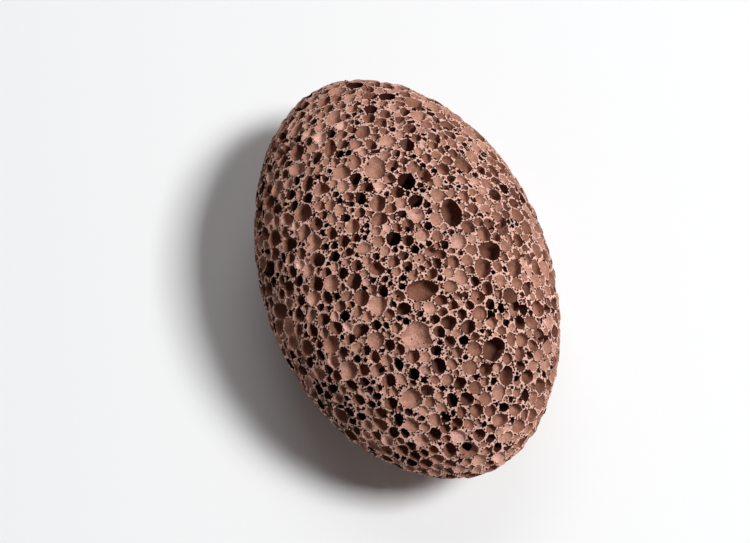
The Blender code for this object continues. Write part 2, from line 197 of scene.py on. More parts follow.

# %% [markdown]
# The next size down is listed too, sorted by kind. Most of these are nearly round, so
# they need no turn. The narrow black holes matter most: they give the peppered look.

# %% The next size down, and the black holes
# kind, then x, y and width in millimetres, or both widths, along x and along y
SMALLER_PITS = {
    "dish": (
        (-42.4, -7.8, 2.8), (-32, -9.2, 3.5), (-21.5, 11.6, 2.6, 2), (-11.5, 11.5, 2.8), (4, -23.2, 3.6),
        (14.6, 16.7, 3), (27.5, 14.6, 3.8, 2.8), (28.4, -11.5, 3.4, 2.4), (38.7, -7.1, 3.2),
        (43.3, -3.5, 3.6), (45.9, 6.6, 3, 4),
    ),
    "bowl": (
        (-41.8, -2, 2.8), (-40, -7.4, 2.2, 3), (-39.2, 7.3, 2.7), (-36.1, 7.3, 2.5),
        (-34.8, -11.2, 2.6, 3.2), (-32.6, 6.8, 3.2), (-31.4, -18.7, 3.2), (-28.4, -21.4, 2.9),
        (-26.9, 2.4, 2.1), (-23.4, 22.6, 2.4), (-18.8, -13.3, 3.8), (-9.5, -7.5, 2.8),
        (-6.8, -22.4, 3.4, 2.4), (-6.4, 16, 3.5, 2.6), (-3.6, -1.2, 3, 2.3), (-3.1, 1.3, 3.8, 3.2),
        (-0.8, -27.4, 3.6), (1.5, -12.2, 3), (5.4, 28.1, 2.6, 1.6), (5.7, 22.6, 3.2, 1.8),
        (8.1, 8, 3.4, 3), (9, 23, 3.2, 2.6), (18, -21.3, 3), (18, -8.9, 2.6), (18.4, -23.8, 3.2),
        (21.7, -24, 3), (23.1, 11.5, 3.6, 3.2), (24.8, -15.5, 3.2, 3.6), (32.9, -17.8, 3),
        (35.7, 15.5, 3.5), (39.5, 1.9, 3.4), (42.5, 12.5, 3, 2.4), (43.8, -9.3, 2.6), (47.3, 1.7, 2.4, 3),
    ),
    "deep": (
        (-42.5, 1.7, 3), (-41.5, -13.3, 2.7), (-41, -10.7, 2.6), (-32.2, 11.1, 2.7), (-28.3, 17.5, 2.2),
        (-27.1, -11.6, 3.2), (-21.1, 5.1, 2.2), (-19.5, 15.6, 2.7, 2), (-18.6, 6.2, 2.2),
        (-11.4, 1.9, 3.2), (-7.8, -14.7, 3.4, 2.7), (-4.9, -13, 3.2, 2.8), (-4.2, -25.5, 3.6, 2.8),
        (-3.8, -28.2, 3, 2.4), (-2.6, 24.9, 3.2, 1.6), (-2.4, -21.5, 2.6, 3.4), (-1.7, -12.8, 2.5),
        (0, -18.9, 2.6), (0.5, 0.1, 2.9), (2.8, -25.8, 3), (3.3, -2, 2.8, 2.4), (5.5, -20.5, 3.6, 2.9),
        (6, -2.1, 3, 2.7), (7.5, 4.4, 3.4, 2.2), (7.7, 0.8, 2.3, 1.8), (7.9, 25.7, 2.2),
        (9.2, -22.9, 3.3), (13.7, 10.8, 2.5), (15.8, 13.2, 3.6, 2.9), (16.1, -19, 2.5), (17.3, 4.5, 2.6),
        (18.5, 7.9, 2.5), (19.7, -16.4, 2.6), (21.7, -15.1, 3.2, 2.8), (22.7, -9.5, 3, 2.3),
        (24.7, 17.8, 3.4), (24.8, 1.2, 3), (27.7, 24.6, 3, 1.7), (32, -15.3, 3.2), (32.4, 6.8, 3.2),
        (33.4, 14.7, 3), (37.4, -16.5, 3), (40.8, -3, 3), (41.3, -13.8, 3), (41.4, -8.3, 3.3),
        (43.4, -13.6, 2.6, 3.2), (44.3, 0.9, 3.2),
    ),
    "hole": (
        (-37.8, 2, 1.5), (-37.3, -9, 2.2), (-36, -16.6, 2), (-35.1, 0, 1.7), (-32.9, -13.3, 1.2),
        (-32.7, -20.7, 1.7), (-32.7, 14, 1.8), (-32.5, -0.2, 1.4), (-32, 17.4, 1.3, 1.8),
        (-31.6, -6.8, 3, 2.4), (-28.8, 11.7, 1.8, 2.8), (-28.7, -2.6, 1.7), (-27.8, 6.7, 1.9),
        (-25.6, -6.7, 2.4), (-25.1, 15.8, 1.5), (-24.9, 21.1, 1.3), (-24.5, 12.8, 1.5),
        (-23.8, -17.7, 2.7, 2), (-23.1, 1.1, 1.6, 2.7), (-22.7, -10.1, 1.7), (-22.3, -13.1, 1.9),
        (-21.9, -27, 2.6, 1.5), (-21.5, -20.2, 2.6, 3), (-21, -11.8, 1.6), (-20.3, 21.5, 1.5),
        (-19, 8.4, 1.4, 2.3), (-18.6, -16.9, 3.2, 2.9), (-18.3, -5.4, 2.6, 3.2), (-18.3, 20.3, 1.6),
        (-17.9, 25.5, 2.2, 1.3), (-16.3, -11, 2), (-16, 23.9, 2.3, 1.4), (-14.3, -10.6, 1.9),
        (-14.2, 11.6, 1.7), (-13.1, -6.1, 3.8, 2.9), (-13, 17.2, 1.6), (-12.5, -8.7, 1.9),
        (-11.8, -0.65, 1.8), (-10, 9.1, 1.2), (-9.9, -10.9, 2.4), (-9.9, 7.2, 1.7), (-9.5, 14.1, 1.6),
        (-9, 15.6, 1.2), (-9, 18.3, 2, 1.2), (-8.1, -26.2, 3.2, 1.7), (-7.8, 29.4, 2.8, 1.2),
        (-6.5, 7, 2.2), (-6.4, -7.1, 1.7), (-6.3, 1.1, 2.4), (-5.3, -17.4, 2, 2.6), (-4.8, -29.9, 3, 2.2),
        (-3.6, -8.4, 1.7), (-3.6, 29.1, 1.8, 1.4), (-2.3, -15.8, 2.7), (-1.5, -24.9, 3.4, 3),
        (-1.4, 5.7, 2.2), (1.1, 24.8, 2.1, 1.3), (1.2, 8.5, 1.3), (1.3, -7.8, 2.1), (2.6, 4.3, 1.8),
        (3, 0.8, 2.3), (3.7, 7.6, 2.4, 2), (5.6, -6.1, 1.4), (5.9, -10, 1.9), (6.6, -22.4, 2),
        (8.2, -4, 1.8, 2.4), (8.3, -6.7, 1.5), (9.3, -8.8, 3.8, 2.4), (11, -18, 2.7), (11, 4, 1.9),
        (11.5, -30.9, 2.6, 2), (12.2, -26, 1.5), (12.3, 18.7, 2.1, 1.3), (13.8, -30.2, 2.2, 1.4),
        (15.7, -12.8, 2.6), (15.7, 8.1, 2), (15.8, -25.8, 3.4, 2), (16, -28.2, 2.6),
        (16.5, -10.7, 2, 1.5), (16.8, -3.1, 2), (17.5, -6.5, 2), (19.1, 12.5, 3.3, 2.5),
        (19.2, -25.3, 3.2, 2.2), (19.6, 26.3, 2.2, 1.2), (20.6, 14.7, 2.7, 1.9), (20.7, -18.9, 2.2),
        (22.1, 27.3, 1.8), (22.6, 21.4, 1.7), (23.2, -25.7, 2.4, 3.6), (23.8, -27, 2.4, 2.8),
        (23.8, 14.7, 2), (24.5, 8.6, 1.4), (24.5, 23.4, 2, 1.1), (25.4, -10.9, 3.2, 2.2),
        (25.4, -2.5, 2.7), (26.5, -16.9, 1.4), (26.6, -23.5, 1.6), (27.4, -25.1, 1.4, 2.4),
        (27.6, -18.5, 2), (28.3, -8.5, 3), (29.7, -17.3, 2, 2.6), (30.3, -19.1, 2.2),
        (31.3, -23.9, 1.8, 2.6), (31.4, -21.9, 2.3, 3.2), (32.1, 23.2, 2, 1.1), (33.3, -3.6, 1.4, 1.8),
        (34.8, 18.9, 1.4), (34.9, 7.5, 1.9), (35.3, -12.2, 2.4), (35.7, 20.1, 2.2),
        (35.8, -14.5, 3.4, 2.8), (36.1, -2.7, 3.8, 2.9), (37.3, -21.9, 1.6, 2.8), (37.5, -10, 1.8),
        (38.7, -14.2, 3, 2.4), (39.2, -5, 2.2, 3), (39.2, 10.4, 1.6), (39.3, 13.7, 3.4, 2.3),
        (42.5, 2.7, 1.8), (43.3, 9.1, 2.2, 1.6), (45.5, 3.4, 2.4, 3), (47.7, 6.6, 1.6, 2.8),
    ),
}
print(sum(len(rows) for rows in SMALLER_PITS.values()), "smaller ones placed by eye")

# %% [markdown]
# Some bowls have a small black hole in their floor, where a bubble below broke through.

# %% Small holes inside larger bubbles
# x, y and width in millimetres
INNER_PITS = (
    (-3.1, 11.8, 0.9), (7.5, 16.8, 0.9), (46.5, -2.2, 2.3), (-15.7, -18.9, 0.9), (7, -12.5, 1.5),
    (-12.6, 25.8, 1), (-3.1, 1.3, 1.5), (27.8, 21.6, 2), (-39.2, 7.3, 0.9), (-34.8, -11.2, 0.9),
    (-26.9, 2.4, 0.8), (-9.5, -7.5, 0.9), (1.5, -12.2, 0.9), (43.8, -9.3, 0.9), (-1.4, 13.2, 0.7),
)
print(len(INNER_PITS), "inner holes placed by eye")

# %% [markdown]
# ## One bubble
#
# A cut bubble is a ball with its top worn away: a dish is the bottom of a ball, a bowl is
# half a ball, and a hole is nearly a whole ball with a narrow mouth. One record per bubble
# holds its mouth, its axes, its depth and its tone, and says how far the mouth reaches toward
# a neighbour. The tone is how dark it is painted inside: partly the redder brown of a bubble's
# inside, partly painted shade, more for the deeper kinds, up to the painted black of a hole.

# %% A record for a bubble
DEPTH = {"dish": 0.42, "bowl": 0.70, "deep": 0.96, "hole": 1.25}
# tone of each kind: partly its own redder colour, partly painted shade that deepens with the kind; a hole's
# 1.0 is painted black shade
TONE_AND_SHADE = {"dish": 0.21, "bowl": 0.31, "deep": 0.46, "hole": 1.0}


class Bubble:
    """An opened bubble: its middle, axes, half widths, depth and tone."""

    def __init__(self, direction, half_long, half_short, along, kind):
        self.centre = skin_points(direction)[0]
        self.normal = skin_normals(direction)[0]
        along = np.asarray(along, float)
        along = along - self.normal * (along @ self.normal)
        self.along = along / np.linalg.norm(along)
        self.across = np.cross(self.normal, self.along)
        self.half_long = half_long
        self.half_short = half_short
        self.kind = kind
        self.depth = DEPTH[kind] * 2 * half_short
        self.tone = TONE_AND_SHADE[kind]
        self.host = None

    @property
    def radius(self):
        return math.sqrt(self.half_long * self.half_short)

    def reach(self, ways):
        """How far the mouth reaches along each direction."""
        a = ways @ self.along
        b = ways @ self.across
        stretched = np.hypot(a / self.half_long, b / self.half_short)
        return np.hypot(a, b) / np.maximum(stretched, 1e-9)


def direction_above(x, y):
    """The direction whose skin point lies on the upper side over x, y."""
    u = x / HALF[0]
    v = y / HALF[1]
    return np.array([u, v, math.sqrt(max(0.0, 1 - u * u - v * v))])


def listed_bubble(x, y, long_width, short_width, turn, kind):
    """A bubble of the lists, given in millimetres and degrees."""
    turn = math.radians(turn)
    along = (math.cos(turn), math.sin(turn), 0)
    way = direction_above(x * MM, y * MM)
    return Bubble(way, long_width * MM / 2, short_width * MM / 2, along, kind)

# %% [markdown]
# ## Large bubbles all round
#
# The sides and the underside need large bubbles too. The solid model strews them from a
# fixed seed, and the same draws in the same order give the same places here.

# %% Strew the other large ones
LISTED_SIDE = Vector((0.34, -0.12, 0.93))
LISTED_LIMIT = 0.22
STREWN_SEED = 7
STREWN_TRIES = 4000
STREWN_GAP = 5.4 * MM
STREWN_WIDTH = (3.8 * MM, 6.4 * MM)
FOOT_CLEAR = 0.46

draw = random.Random(STREWN_SEED)
bubbles = [listed_bubble(*row) for row in UPPER_PITS]
for _ in range(STREWN_TRIES):
    direction = Vector((draw.gauss(0, 1), draw.gauss(0, 1), draw.gauss(0, 1))).normalized()
    width = draw.uniform(*STREWN_WIDTH)
    squeeze = draw.uniform(0.68, 0.95)
    along = (draw.gauss(0, 1), draw.gauss(0, 1), draw.gauss(0, 0.4))
    kind = draw.choice(("dish", "bowl", "bowl", "deep"))
    if Vector(skin_normals(direction)[0]).dot(LISTED_SIDE) > LISTED_LIMIT:
        continue
    if direction.z < -0.8 and math.hypot(direction.x, direction.y) < FOOT_CLEAR:
        continue
    new = Bubble(np.array(direction), width / 2, width * squeeze / 2, along, kind)
    apart = STREWN_GAP + width / 2
    if all(np.linalg.norm(new.centre - old.centre) > apart + old.half_long for old in bubbles):
        bubbles.append(new)
print(len(bubbles), "large bubbles in all")

# %% [markdown]
# The smaller ones of the list join them. The eye can take one bubble for two, so one that
# falls on a large bubble is passed over.

# %% Add the smaller ones of the list
NEAREST = 0.75


def clear_of(new, old):
    """Whether two bubbles keep their middles far enough apart."""
    return np.linalg.norm(new.centre - old.centre) > NEAREST * (new.radius + old.radius)


large = list(bubbles)
for kind, rows in SMALLER_PITS.items():
    for x, y, wide_x, *rest in rows:
        wide_y = rest[0] if rest else wide_x
        size = (wide_x, wide_y, 0) if wide_x >= wide_y else (wide_y, wide_x, 90)
        new = listed_bubble(x, y, *size, kind)
        if all(clear_of(new, old) for old in large):
            bubbles.append(new)
print(len(bubbles) - len(large), "smaller bubbles added")

# %% [markdown]
# ## Packing the foam
#
# In foam every gap between bubbles holds a smaller one. Points scattered at random leave bald
# patches and overlaps, so the bubbles are packed. Trial spots all over the skin each keep
# the room they have to the nearest mouth. From large to small, a new bubble goes to a spot
# whose room just fits it, and the rooms around it shrink. What is left is filled with
# bubbles as wide as the room.

# %% Spread the trial spots evenly
PACK_SEED = 23
SPOTS = 300000
rng = np.random.default_rng(PACK_SEED)

spot_way = rng.normal(size=(SPOTS * 3, 3))
spot_way /= np.linalg.norm(spot_way, axis=1)[:, None]
# kept in proportion to how far the egg stretches the sphere there
stretch = np.linalg.norm(spot_way / HALF, axis=1)
spot_way = spot_way[rng.random(len(spot_way)) < stretch / stretch.max()][:SPOTS]
# in order along the stone, so that the spots near a bubble are one slice
spot_way = spot_way[np.argsort(skin_points(spot_way)[:, 0])]
spot = skin_points(spot_way)
room = np.full(len(spot), np.inf)
print(len(spot), "trial spots")

# %% Rooms shrink around each new bubble
FARTHEST = 6 * MM


def take_room(bubble):
    """Shrink the rooms around a new bubble."""
    near = np.array([-1, 1]) * (bubble.half_long + FARTHEST)
    first, last = np.searchsorted(spot[:, 0], bubble.centre[0] + near)
    ways = spot[first:last] - bubble.centre
    gap = np.linalg.norm(ways, axis=1) - bubble.reach(ways)
    np.minimum(room[first:last], gap, out=room[first:last])


for bubble in bubbles:
    take_room(bubble)
print("widest room", round(room.max() / MM, 1), "mm")

# %% How a packed bubble turns out
LARGE = 1.0 * MM
STRETCH = 0.13
KINDS = ("dish", "bowl", "deep", "hole")
# how often each kind comes up
KIND_SHARE = {"large": (0.48, 0.30, 0.12, 0.10), "small": (0.22, 0.34, 0.15, 0.29)}


def new_bubble(index, radius):
    """Add a bubble at a trial spot, with its own stretch, turn and kind."""
    size = "large" if radius > LARGE else "small"
    kind = KINDS[rng.choice(4, p=KIND_SHARE[size])]
    half_long = radius * math.sqrt(1 + abs(rng.normal(0, STRETCH)))
    bubble = Bubble(spot_way[index], half_long, radius ** 2 / half_long, rng.normal(size=3), kind)
    bubbles.append(bubble)
    take_room(bubble)


# %% Pack from large to small
WALL = 0.14 * MM
# share of a radius that has to fit, as the rest is pressed flat
PRESS = 0.75
SNUG = 0.10 * MM
TYPICAL = 1.22 * MM
SPREAD = 0.26
RANGE = (0.75 * MM, 2.3 * MM)
PACKED = 2400
SHUFFLE = 0.25

sizes = np.clip(TYPICAL * np.exp(rng.normal(0, SPREAD, PACKED)), *RANGE)
for radius in sizes[np.argsort(-sizes * (1 + SHUFFLE * rng.random(PACKED)))]:
    needed = radius * PRESS + WALL / 2
    fits = np.flatnonzero((room > needed) & (room < needed + SNUG))
    if len(fits) == 0:
        fits = np.flatnonzero(room > needed)
    if len(fits):
        new_bubble(rng.choice(fits), radius)
print(len(bubbles), "bubbles after packing")

# %% Fill what is left
SMALLEST = 0.42 * MM
OVERFILL = 1.12
WIDEST_FILLER = 1.5 * MM
# the underside, where the skin faces down by more than this, is filled less finely
UNSEEN = -0.25
COARSER = 0.30 * MM

room[skin_normals(spot_way)[:, 2] < UNSEEN] -= COARSER
while room.max() > SMALLEST:
    index = int(room.argmax())
    new_bubble(index, min(room[index] * OVERFILL, WIDEST_FILLER))
print(len(bubbles), "bubbles after filling")

# %% [markdown]
# ## Bubbles that broke into each other
#
# Here and there two bubbles ran together into a double bowl, or a deeper one broke through
# another's floor. Such a partner is set beside or inside a bubble that is there already, and
# no wall is left between the two.

# %% A bubble beside or inside another
LEAST_DEEP = 0.3
THROUGH = 0.9
HOLE_ROUND = (0.8, 1.0)


def direction_to(point):
    """The direction whose skin point lies near a point."""
    d = (point - np.array([0, 0, THICKNESS - HALF[2]])) / HALF
    return d / np.linalg.norm(d)


def beside(host, shift, size):
    """A bubble that breaks into its host's side."""
    turn = rng.uniform(0, 2 * math.pi)
    side = host.along * host.half_long * math.cos(turn) + host.across * host.half_short * math.sin(turn)
    radius = host.radius * size
    kind = KINDS[rng.integers(4)]
    way = direction_to(host.centre + side * shift)
    new = Bubble(way, radius * 1.08, radius / 1.08, rng.normal(size=3), kind)
    new.host = host
    return new


def inside(host, place, radius):
    """A hole that breaks through the host's floor."""
    new = Bubble(direction_to(place), radius, radius * rng.uniform(*HOLE_ROUND), rng.normal(size=3), "hole")
    off = np.linalg.norm(new.centre - host.centre) / host.radius
    new.centre = new.centre - new.normal * host.depth * max(LEAST_DEEP, 1 - off ** 2) * THROUGH
    new.host = host
    return new


# %% Add the partners
DOUBLES = 180
INNER_HOLES = 90
HOST = 1.1 * MM
# shares of the host's half width: lowest and highest
DOUBLE_SHIFT = (0.7, 1.0)
DOUBLE_SIZE = (0.5, 0.9)
INNER_SHIFT = (-0.4, 0.4)
INNER_SIZE = (0.25, 0.5)

hosts = [bubble for bubble in bubbles[len(UPPER_PITS):] if bubble.radius > HOST]
hosts = [hosts[k] for k in rng.permutation(len(hosts))]
partners = [beside(host, rng.uniform(*DOUBLE_SHIFT), rng.uniform(*DOUBLE_SIZE)) for host in hosts[:DOUBLES]]
for host in hosts[DOUBLES:DOUBLES + INNER_HOLES]:
    place = host.centre + host.along * host.half_long * rng.uniform(*INNER_SHIFT)
    partners.append(inside(host, place, host.radius * rng.uniform(*INNER_SIZE)))
for x, y, width in INNER_PITS:
    place = skin_points(direction_above(x * MM, y * MM))[0]
    host = min(bubbles, key=lambda bubble: np.linalg.norm(bubble.centre - place))
    partners.append(inside(host, place, width * MM / 2))
print(len(partners), "partners")

# %% [markdown]
# ## Pressed flat against each other
#
# Where two bubbles meet a thin flat wall stays between them, so their mouths look like
# rounded polygons. Each bubble is a ball of points around its own axis, and any point that
# would pass the wall toward a neighbour is pulled back to it.

# %% The walls around a bubble
OTHERS = {
    name: np.array([getattr(bubble, name) for bubble in bubbles])
    for name in ("centre", "along", "across", "half_long", "half_short")
}


def walls_around(bubble):
    """Directions to the neighbours' walls and the distance of each wall."""
    gap = OTHERS["centre"] - bubble.centre
    far = np.linalg.norm(gap, axis=1)
    near = (far > 1e-9) & (far < bubble.half_long + OTHERS["half_long"] + WALL)
    if bubble.host is not None:
        near &= np.linalg.norm(OTHERS["centre"] - bubble.host.centre, axis=1) > 1e-9
    along, across, half_long, half_short = (
        OTHERS[name][near] for name in ("along", "across", "half_long", "half_short")
    )
    ways = gap[near] / far[near, None]
    mine = bubble.reach(ways)
    a = np.einsum("ij,ij->i", ways, along)
    b = np.einsum("ij,ij->i", ways, across)
    theirs = np.hypot(a, b) / np.hypot(a / half_long, b / half_short)
    limit = far[near] * mine / (mine + theirs) - WALL / 2
    tight = mine + theirs + WALL > far[near]
    return ways[tight], limit[tight]


print("the first bubble meets", len(walls_around(bubbles[0])[0]), "walls")

# %% How many points a bubble gets, and its profile
ABOVE = 0.7 * MM
UNDERCUT = 1.16
# how much the mouth opens above the skin, and the most it may
FLARE = 0.35
WIDEST_FLARE = 1.18
# how far down the wall the first ring lies, as a share of the step between rings
FIRST_RING = 0.55
# half width in millimetres from which a bubble gets so many sides and rings
DETAIL = ((2.6, 16, 4), (1.75, 12, 3), (1.02, 9, 2), (0.9, 8, 1), (0.0, 7, 1))
WIDE_HOLE = 1.75 * MM


def detail(bubble):
    """The sides and rings of one bubble: fewer for a hole and on the underside."""
    sides, rings = next((s, r) for size, s, r in DETAIL if bubble.radius >= size * MM)
    if bubble.kind == "hole":
        rings = min(rings, 2 if bubble.radius > WIDE_HOLE else 1)
    if bubble.normal[2] < UNSEEN:
        sides, rings = max(6, sides - 4), max(1, rings - 1)
    return sides, rings


def profile(bubble, rings):
    """How far down and how wide each ring of a ball with its top worn away is."""
    deep = bubble.depth / bubble.radius
    ball = (1 + deep ** 2) / (2 * deep)
    middle = deep - ball
    wide = min(ball, UNDERCUT)
    start = math.acos(max(-1.0, min(1.0, -middle / ball)))
    levels = [(-ABOVE / bubble.radius, min(WIDEST_FLARE, 1 + FLARE * max(0.0, -middle)))]
    for ring in range(rings):
        angle = start + (math.pi - start) * (ring + FIRST_RING) / (rings + FIRST_RING)
        levels.append((middle - ball * math.cos(angle), min(ball * math.sin(angle), wide)))
    return levels


print("the first bubble has", detail(bubbles[0]), "sides and rings")

# %% Shape one bubble
LEAN = 0.22
LOBE_HEIGHT = 0.075
# how many lobes go round, and their share of the height
LOBES = ((2, 1.0), (3, 1.0), (5, 0.6))
# a wall never pulls a point nearer to the axis than this share
LEAST_PULL = 0.2
BOTTOM_LEAN = 0.8


def pulled(ring, ways, limit):
    """A ring's points, with those that would pass a wall pulled back to it."""
    for way, far in zip(ways, limit):
        beyond = ring @ way
        pull = np.where(beyond > far, far / np.maximum(beyond, 1e-9), 1.0)
        ring = ring * np.maximum(pull, LEAST_PULL)[:, None]
    return ring


def bubble_points(bubble):
    """The points of one closed bubble, ring by ring from the top down."""
    sides, rings = detail(bubble)
    deep = bubble.depth / bubble.radius
    turn = np.arange(sides) * 2 * math.pi / sides + rng.uniform(0, 1)
    lobes = 1
    for count, share in LOBES:
        lobes = lobes + share * LOBE_HEIGHT * rng.normal() * np.cos(count * turn + rng.uniform(0, 6))
    lean = rng.normal(0, LEAN, 2) * min(1.0, deep)
    walls = walls_around(bubble)
    points = []
    for down, out in profile(bubble, rings):
        shift = max(0.0, down)
        a = bubble.half_long * (out * lobes * np.cos(turn) + lean[0] * shift)
        b = bubble.half_short * (out * lobes * np.sin(turn) + lean[1] * shift)
        ring = pulled(a[:, None] * bubble.along + b[:, None] * bubble.across, *walls)
        points.append(bubble.centre + ring - bubble.normal * down * bubble.radius)
    foot = bubble.along * bubble.half_long * lean[0] * deep
    foot = foot + bubble.across * bubble.half_short * lean[1] * deep
    points.append((bubble.centre + foot * BOTTOM_LEAN - bubble.normal * bubble.depth)[None])
    return sides, rings + 1, np.concatenate(points)


# %% Collect them in one mesh
TONE_SPREAD = 0.07


def bubble_faces(first, sides, rings):
    """The faces of one closed bubble whose points start at index first."""
    faces = [tuple(first + k for k in range(sides))]
    bottom = first + sides * rings
    for k in range(sides):
        after = (k + 1) % sides
        for ring in range(rings - 1):
            upper = first + ring * sides
            lower = upper + sides
            faces.append((upper + k, lower + k, lower + after))
            faces.append((upper + k, lower + after, upper + after))
        last = first + (rings - 1) * sides
        faces.append((last + k, bottom, last + after))
    return faces


def bubble_mesh(name, wanted):
    """The wanted bubbles as one hidden cutting mesh."""
    points = []
    faces = []
    tones = []
    count = 0
    for bubble in wanted:
        sides, rings, own = bubble_points(bubble)
        faces += bubble_faces(count, sides, rings)
        points.append(own)
        tones += [bubble.tone + rng.normal(0, TONE_SPREAD)] * len(own)
        count += len(own)
    mesh = bpy.data.meshes.new(name)
    mesh.from_pydata(np.concatenate(points).tolist(), [], faces)
    # each point keeps its bubble's tone, painted shade included
    tone = mesh.attributes.new("bubble_tone", "FLOAT", "POINT")
    tone.data.foreach_set("value", np.clip(tones, 0, 1))
    return add_object(name, mesh)


bubble_cutter = bubble_mesh("bubbles", bubbles)
partner_cutter = bubble_mesh("partners", partners)
print("cutting meshes", len(bubble_cutter.data.polygons) + len(partner_cutter.data.polygons), "faces")

# %% [markdown]
# ## Pinholes in the gaps
#
# The thick spots between the mouths are full of bubbles under a millimetre wide. They are too
# many to shape one by one, so the packing only says where there is room and how much.

# %% Points for the pinholes
PINHOLE = (0.08 * MM, 0.32 * MM)
PINHOLE_WALL = 0.055 * MM
MOST_PINHOLES = 3600
# how much of its room a pinhole takes, and how far its cone starts above the skin
FILL = (0.75, 1.05)
START = 0.4

points = []
inward = []
widths = []
while room.max() > PINHOLE[0] + PINHOLE_WALL and len(points) < MOST_PINHOLES:
    index = int(room.argmax())
    width = min((room[index] - PINHOLE_WALL / 2) * rng.uniform(*FILL), PINHOLE[1])
    here = spot[index]
    out = skin_normals(spot_way[index])[0]
    points.append(here + out * width * START)
    inward.append(-out)
    widths.append(width)
    first, last = np.searchsorted(spot[:, 0], here[0] + np.array([-1, 1]) * 2 * MM)
    gap = np.linalg.norm(spot[first:last] - here, axis=1) - width - PINHOLE_WALL / 2
    np.minimum(room[first:last], gap, out=room[first:last])

mesh = bpy.data.meshes.new("pinhole_points")
mesh.from_pydata([tuple(p) for p in points], [], [])
mesh.attributes.new("half_width", "FLOAT", "POINT").data.foreach_set("value", widths)
into = mesh.attributes.new("into", "FLOAT_VECTOR", "POINT")
into.data.foreach_set("vector", np.concatenate(inward))
pinholes = add_object("pinhole_points", mesh)
print(len(points), "pinholes, gaps left up to", round(room.max() / MM, 2), "mm")

# %% [markdown]
# ## The blank
#
# The blank is an icosphere pushed onto the formula's skin, as it has no poles with thin faces.

# %% Make the blank
BLANK_STEPS = 4

bm = bmesh.new()
bmesh.ops.create_icosphere(bm, subdivisions=BLANK_STEPS, radius=1.0)
mesh = bpy.data.meshes.new("pumice_blank")
bm.to_mesh(mesh)
bm.free()
ways = np.empty(len(mesh.vertices) * 3)
mesh.vertices.foreach_get("co", ways)
mesh.vertices.foreach_set("co", skin_points(ways.reshape(-1, 3)).ravel())
mesh.update()
blank = add_object("pumice_blank", mesh)
print("blank", len(mesh.polygons), "faces")

# %% [markdown]
# ## Opening the bubbles with Geometry Nodes
#
# A Boolean modifier could subtract the bubbles too, but one node tree does the whole job in
# one pass. A few short helpers keep its steps readable. The stone's material is made here
# too, and gets its colours further down.

# %% A short way to add nodes
def add_node(tree, kind, inputs=None, **settings):
    """Add a node, set its properties, and link or set its inputs by name."""
    node = tree.nodes.new(kind)
    for name, value in settings.items():
        setattr(node, name, value)
    for name, value in (inputs or {}).items():
        if isinstance(name, str):
            socket = next(s for s in node.inputs if name in (s.name, s.identifier) and s.enabled)
        else:
            socket = node.inputs[name]
        if isinstance(value, bpy.types.NodeSocket):
            tree.links.new(value, socket)
        else:
            socket.default_value = value
    return node


def add_math(tree, operation, first, second, clamp=False):
    """A Math node on two numbers or sockets."""
    values = {0: first, 1: second}
    return add_node(tree, "ShaderNodeMath", values, operation=operation, use_clamp=clamp).outputs[0]


def share_of(tree, value, full):
    """A value as a share of a full one, kept between 0 and 1."""
    return add_math(tree, "DIVIDE", value, full, clamp=True)


def vector_math(tree, operation, *values):
    """A Vector Math node. To scale, the second value is a number."""
    names = (0, "Scale") if operation == "SCALE" else (0, 1)
    return add_node(tree, "ShaderNodeVectorMath", dict(zip(names, values)), operation=operation).outputs[0]


def add_noise(tree, inputs):
    """The value of a noise texture."""
    return add_node(tree, "ShaderNodeTexNoise", inputs).outputs[0]


# %% The tree and its inputs
stone_finish, finish = new_material("pumice", 0.95, 0.05)
# each input's kind of socket and its value
OPENING = {
    "Bubbles": ("Object", bubble_cutter),
    "Partners": ("Object", partner_cutter),
    "Pinhole Points": ("Object", pinholes),
    "Floor Pinholes": ("Float", 26000.0),
    "Floor Pinhole Width": ("Float", 0.40 * MM),
    "Pinhole Sides": ("Int", 4),
    "Wear Depth": ("Float", 0.45 * MM),
    "Wear Scale": ("Float", 330.0),
    "Roughness Height": ("Float", 0.22 * MM),
    "Roughness Scale": ("Float", 900.0),
    "Seed": ("Int", 5),
    "Stone": ("Material", stone_finish),
}
tree = bpy.data.node_groups.new("open_bubbles", "GeometryNodeTree")
tree.interface.new_socket("Geometry", in_out="INPUT", socket_type="NodeSocketGeometry")
for label, (kind, _) in OPENING.items():
    tree.interface.new_socket(label, in_out="INPUT", socket_type="NodeSocket" + kind)
tree.interface.new_socket("Geometry", in_out="OUTPUT", socket_type="NodeSocketGeometry")
given = tree.nodes.new("NodeGroupInput").outputs
print(len(OPENING), "inputs beside the blank")

# %% Nodes that the tree uses more than once
def object_mesh(tree, ob):
    """The mesh of another object."""
    return add_node(tree, "GeometryNodeObjectInfo", {"Object": ob}).outputs["Geometry"]


def stored(tree, name, data_type="FLOAT"):
    """What the mesh carries under a name."""
    return add_node(tree, "GeometryNodeInputNamedAttribute", {"Name": name}, data_type=data_type).outputs[0]


def store(tree, geometry, name, value, domain):
    """The geometry with a number stored under a name."""
    inputs = {"Geometry": geometry, "Name": name, "Value": value}
    return add_node(tree, "GeometryNodeStoreNamedAttribute", inputs, domain=domain).outputs[0]


def random_value(tree, low, high, seed):
    """A random number, or a random vector, for each point."""
    data_type = "FLOAT" if isinstance(low, float) else "FLOAT_VECTOR"
    inputs = {"Min": low, "Max": high, "Seed": seed}
    node = add_node(tree, "FunctionNodeRandomValue", inputs, data_type=data_type)
    return next(socket for socket in node.outputs if socket.enabled)


def distance_to(tree, mesh):
    """How far each point lies from a mesh."""
    nearest = add_node(tree, "GeometryNodeProximity", {"Target": mesh}, target_element="FACES")
    return nearest.outputs["Distance"]


def moved(tree, geometry, offset):
    """The geometry with every point moved."""
    return add_node(tree, "GeometryNodeSetPosition", {"Geometry": geometry, "Offset": offset}).outputs[0]


# %% [markdown]
# ### Pinholes as cones
#
# One cone is set at every pinhole point, turned inward. More are scattered over the walls of
# the bubbles, but only well away from the old skin, where their base can't stick out of it.

# %% A cone at each pinhole point
CONE = {"Radius Top": 0.0, "Radius Bottom": 1.2, "Depth": 2.6}
SPIN = 6.3
UNEVEN = ((0.8, 0.8, 0.8), (1.3, 1.3, 1.2))

